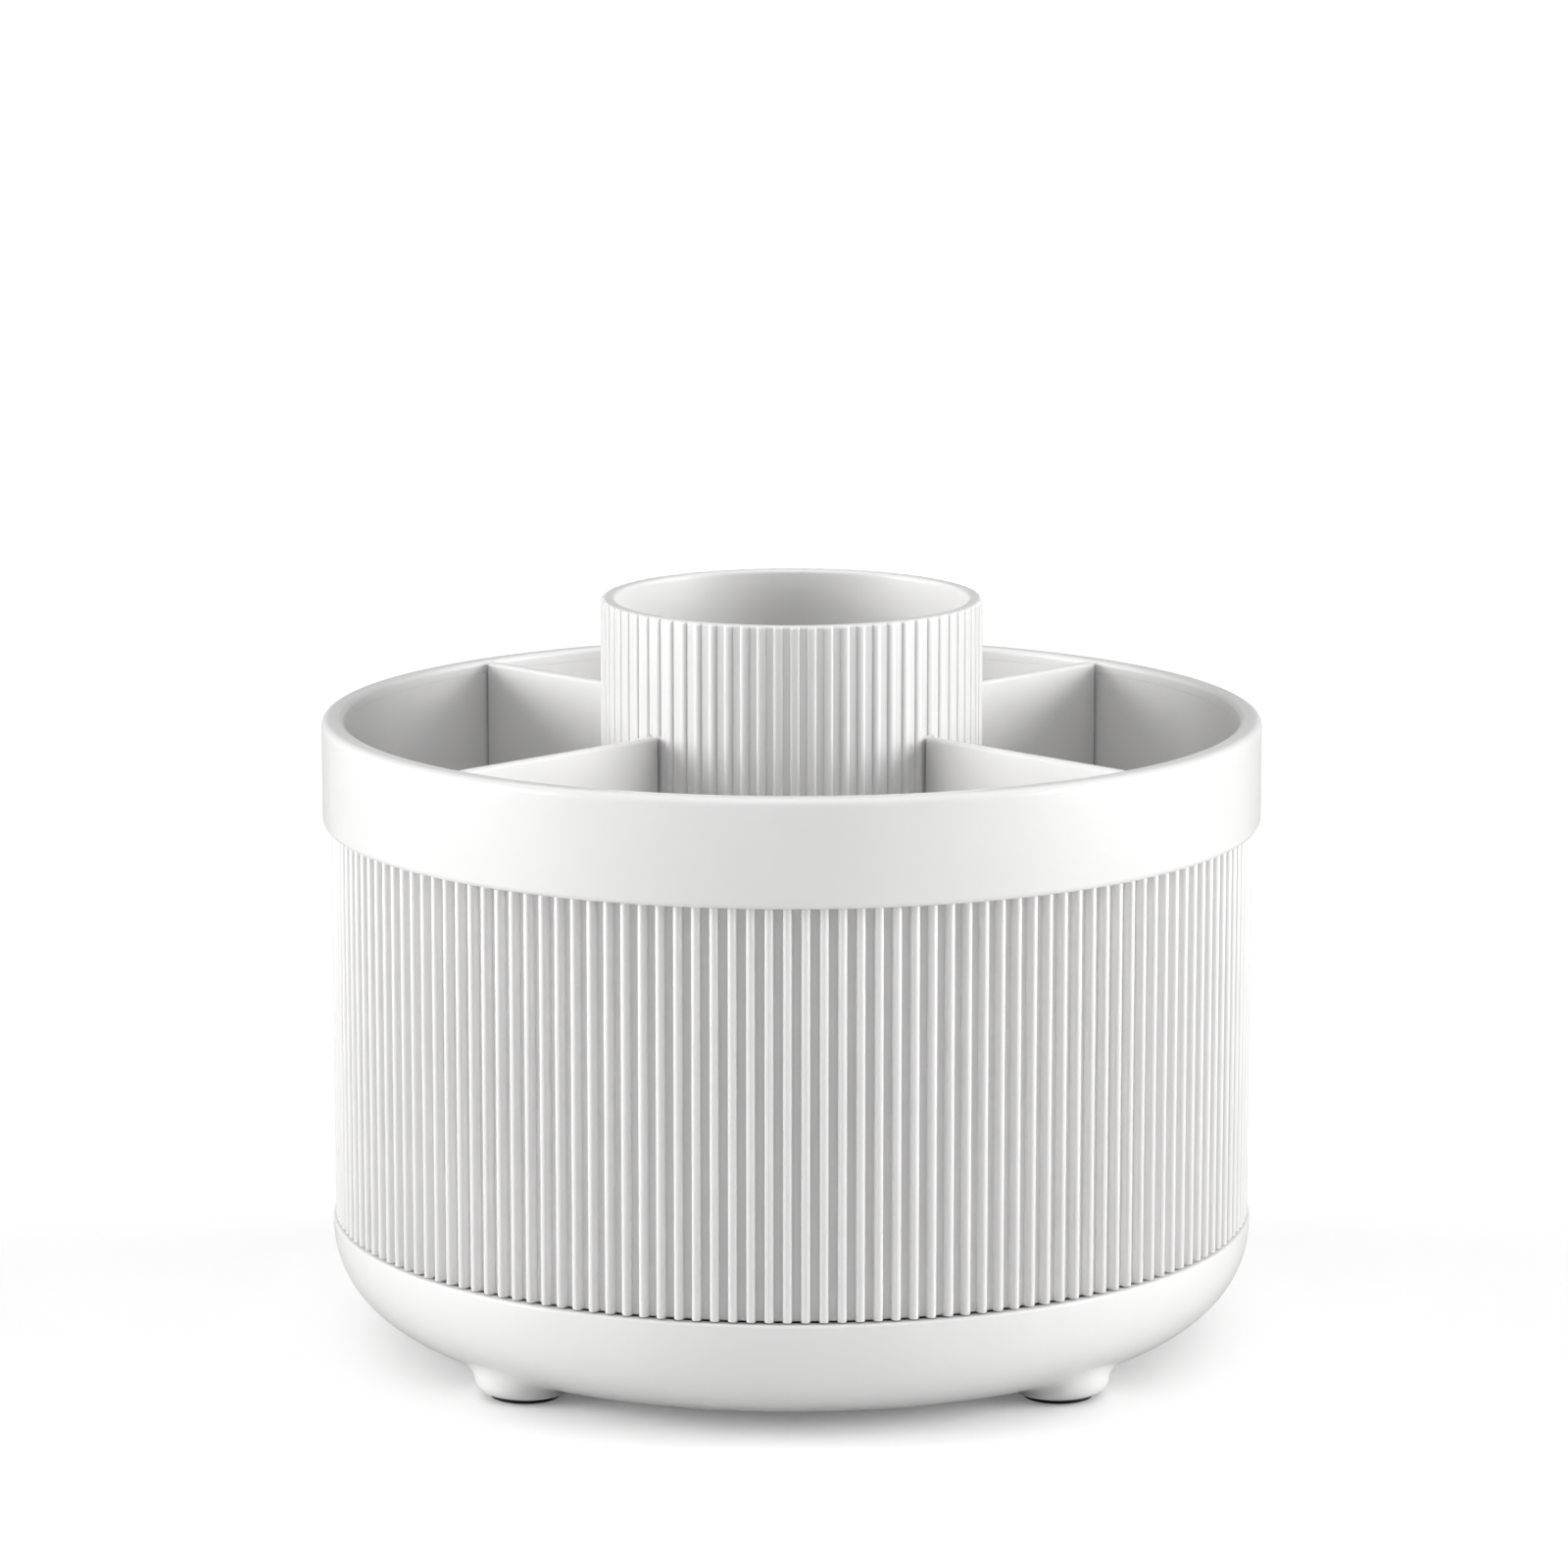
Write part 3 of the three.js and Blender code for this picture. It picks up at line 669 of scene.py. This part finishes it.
cup_inside = rounded([
    (CUP_WALL - 0.9, CUP_TOP, 0), (CUP_INNER, CUP_TOP, 0.7), (CUP_INNER, cup_floor_top, 2.5),
    (0, cup_floor_top, 0),
], 8, closed=False)
cup_profile = [(0, 0, CUP_BOTTOM)] + cup_outside + [(r, r, z) for r, z in cup_inside]
angles, bumps = ribbed_angles("cup", CUP_WALL, CUP_TIP)
cup = spun("centre_cup", cup_profile, angles, bumps)
channels = [
    box(CHANNEL_DEEP, CHANNEL_WIDE, 0, panel_top + GAP, x=CUP_WALL + CHANNEL_DEEP / 2, degrees=d)
    for d in DIAGONALS
]
combined(cup, [joined("channels", channels)], "DIFFERENCE")
cup_holes = [
    rod(SCREW_HOLE, 0, high("cup_screw_1")[2] + GAP, x=CUP_SCREW_CIRCLE, degrees=d, count=24) for d in AXES
]
combined(cup, [joined("holes", cup_holes)], "DIFFERENCE")
finished(crisp(cup), "centre_cup")

# ---- Partitions ----
PANEL_THICK = 2.0
panel_inner, panel_outer = CUP_WALL + GAP, DRUM_INNER - GAP
for side, degrees in zip(("rear_right", "rear_left", "front_left", "front_right"), DIAGONALS):
    node = f"partition_{side}"
    length, centre = panel_outer - panel_inner, (panel_inner + panel_outer) / 2
    panel = box(length, PANEL_THICK, FLOOR_TOP + 0.1, panel_top, x=centre, bevel=0.6, steps=4)
    tabs = [box(TAB, TAB_THICK, low(node)[2], FLOOR_TOP + 1.5, x=r, bevel=0.2, steps=2) for r in TAB_AT]
    combined(panel, tabs, "UNION")
    finished(moved(crisp(panel), degrees=degrees), node)

# ---- Studio ----
STUDIO_HALF = 6.0
floor_plane = bpy.data.meshes.new("studio_floor")
studio_corners = [(x * STUDIO_HALF, y * STUDIO_HALF, 0) for x, y in ((-1, -1), (1, -1), (1, 1), (-1, 1))]
floor_plane.from_pydata(studio_corners, [], [(0, 1, 2, 3)])
studio_floor = bpy.data.objects.new("studio_floor", floor_plane)
scene.collection.objects.link(studio_floor)
floor_white = material("studio_white", (0.96, 0.96, 0.96), 0.75, 0.03, 300.0, 0.05, tint=0.005)
floor_plane.materials.append(floor_white)

# The floor is white to look at, but throws only part of its light back at the object, and is dark where it
# is mirrored.
FLOOR_GLOW, FLOOR_BOUNCE, FLOOR_MIRRORED = 0.14, 0.85, 0.12
floor_nodes, floor_links = floor_white.node_tree.nodes, floor_white.node_tree.links
floor_shader = floor_nodes["Principled BSDF"]
floor_shader.inputs["Emission Color"].default_value = (1.0, 1.0, 1.0, 1.0)
floor_shader.inputs["Emission Strength"].default_value = FLOOR_GLOW
floor_path = floor_nodes.new("ShaderNodeLightPath")
grey = floor_nodes.new("ShaderNodeMix")
grey.inputs["A"].default_value = FLOOR_BOUNCE
grey.inputs["B"].default_value = FLOOR_MIRRORED
floor_links.new(floor_path.outputs["Is Glossy Ray"], grey.inputs["Factor"])
dim = floor_nodes.new("ShaderNodeBsdfDiffuse")
floor_links.new(grey.outputs["Result"], dim.inputs["Color"])
either = floor_nodes.new("ShaderNodeMixShader")
floor_links.new(floor_path.outputs["Is Camera Ray"], either.inputs["Fac"])
floor_links.new(dim.outputs["BSDF"], either.inputs[1])
floor_links.new(floor_shader.outputs["BSDF"], either.inputs[2])
floor_output = next(node for node in floor_nodes if node.type == "OUTPUT_MATERIAL")
floor_links.new(either.outputs["Shader"], floor_output.inputs["Surface"])

# A dim tent round the object, bright at both sides, less bright in front of them and overhead.
WORLD_EVEN, WORLD_SIDES, WORLD_CORNERS, WORLD_TOP, WORLD_SEEN = 0.08, 9.6, 0.5, 1.0, 1.15
# Where each part of the tent starts and is at its full strength, along a direction of length 1.
SIDES_ACROSS, SIDES_FORWARD = (0.81, 0.94), (0.35, 0.0)
CORNERS_ACROSS, CORNERS_FORWARD = (0.5, 0.75), (-0.3, -0.6)
TOP_UP = (0.5, 0.9)

world = bpy.data.worlds.new("studio")
scene.world = world
world.use_nodes = True
world_nodes, world_links = world.node_tree.nodes, world.node_tree.links
background = world_nodes["Background"]
background.inputs["Color"].default_value = (1.0, 1.0, 1.0, 1.0)
direction = world_nodes.new("ShaderNodeTexCoord")
parts = world_nodes.new("ShaderNodeSeparateXYZ")
world_links.new(direction.outputs["Generated"], parts.inputs["Vector"])


def world_math(operation, a, b=None):
    node = world_nodes.new("ShaderNodeMath")
    node.operation = operation
    for value, socket in zip((a, b), node.inputs):
        if isinstance(value, float):
            socket.default_value = value
        elif value is not None:
            world_links.new(value, socket)
    return node.outputs["Value"]


def world_ramp(value, start, end, gain):
    """Rises smoothly from 0 at start to gain at end."""
    node = world_nodes.new("ShaderNodeMapRange")
    node.interpolation_type = "SMOOTHSTEP"
    node.inputs["From Min"].default_value = start
    node.inputs["From Max"].default_value = end
    node.inputs["To Max"].default_value = gain
    world_links.new(value, node.inputs["Value"])
    return node.outputs["Result"]


def world_panel(across_range, forward_range, gain):
    """Light from both sides that fades in across the view and towards the front of it."""
    return world_math(
        "MULTIPLY",
        world_ramp(across, *across_range, gain),
        world_ramp(parts.outputs["Y"], *forward_range, 1.0))


across = world_math("ABSOLUTE", parts.outputs["X"])
sides = world_panel(SIDES_ACROSS, SIDES_FORWARD, WORLD_SIDES)
corners = world_panel(CORNERS_ACROSS, CORNERS_FORWARD, WORLD_CORNERS)
top = world_ramp(parts.outputs["Z"], *TOP_UP, WORLD_TOP)
strength = world_math("ADD", world_math("ADD", sides, corners), world_math("ADD", top, WORLD_EVEN))
light_path = world_nodes.new("ShaderNodeLightPath")
seen = world_nodes.new("ShaderNodeMix")
seen.inputs["B"].default_value = WORLD_SEEN
world_links.new(light_path.outputs["Is Camera Ray"], seen.inputs["Factor"])
world_links.new(strength, seen.inputs["A"])
world_links.new(seen.outputs["Result"], background.inputs["Strength"])


def softbox(name, place, target, size, power):
    light = bpy.data.lights.new(name, "AREA")
    light.shape = "RECTANGLE"
    light.size, light.size_y = size
    light.energy = power
    obj = bpy.data.objects.new(name, light)
    scene.collection.objects.link(obj)
    obj.location = place
    obj.rotation_euler = (Vector(target) - Vector(place)).to_track_quat("-Z", "Y").to_euler()


SOFTBOX_X, SOFTBOX_YZ, SOFTBOX_SIZE, SOFTBOX_AIM = 1.1, (-0.35, 0.35), (0.9, 1.2), (0, 0, 0.06)
softbox("left_softbox", (-SOFTBOX_X, *SOFTBOX_YZ), SOFTBOX_AIM, SOFTBOX_SIZE, 0.5)
softbox("right_softbox", (SOFTBOX_X, *SOFTBOX_YZ), SOFTBOX_AIM, SOFTBOX_SIZE, 0.6)
softbox("top_softbox", (0, 0.1, 1.3), (0, 0, 0.05), (1.4, 1.2), 1.0)

SENSOR, LENS = 36.0, 144.9  # millimetres
CAMERA_PLACE, CAMERA_DOWN = (-0.0013, -1.060, 0.2931), 10.571  # metres, and degrees below level
camera_data = bpy.data.cameras.new("camera")
camera_data.sensor_width = SENSOR
camera_data.lens = LENS
camera = bpy.data.objects.new("camera", camera_data)
scene.collection.objects.link(camera)
camera.location = CAMERA_PLACE
camera.rotation_euler = (math.radians(90 - CAMERA_DOWN), 0, 0)
scene.camera = camera
scene.view_settings.view_transform = "Standard"
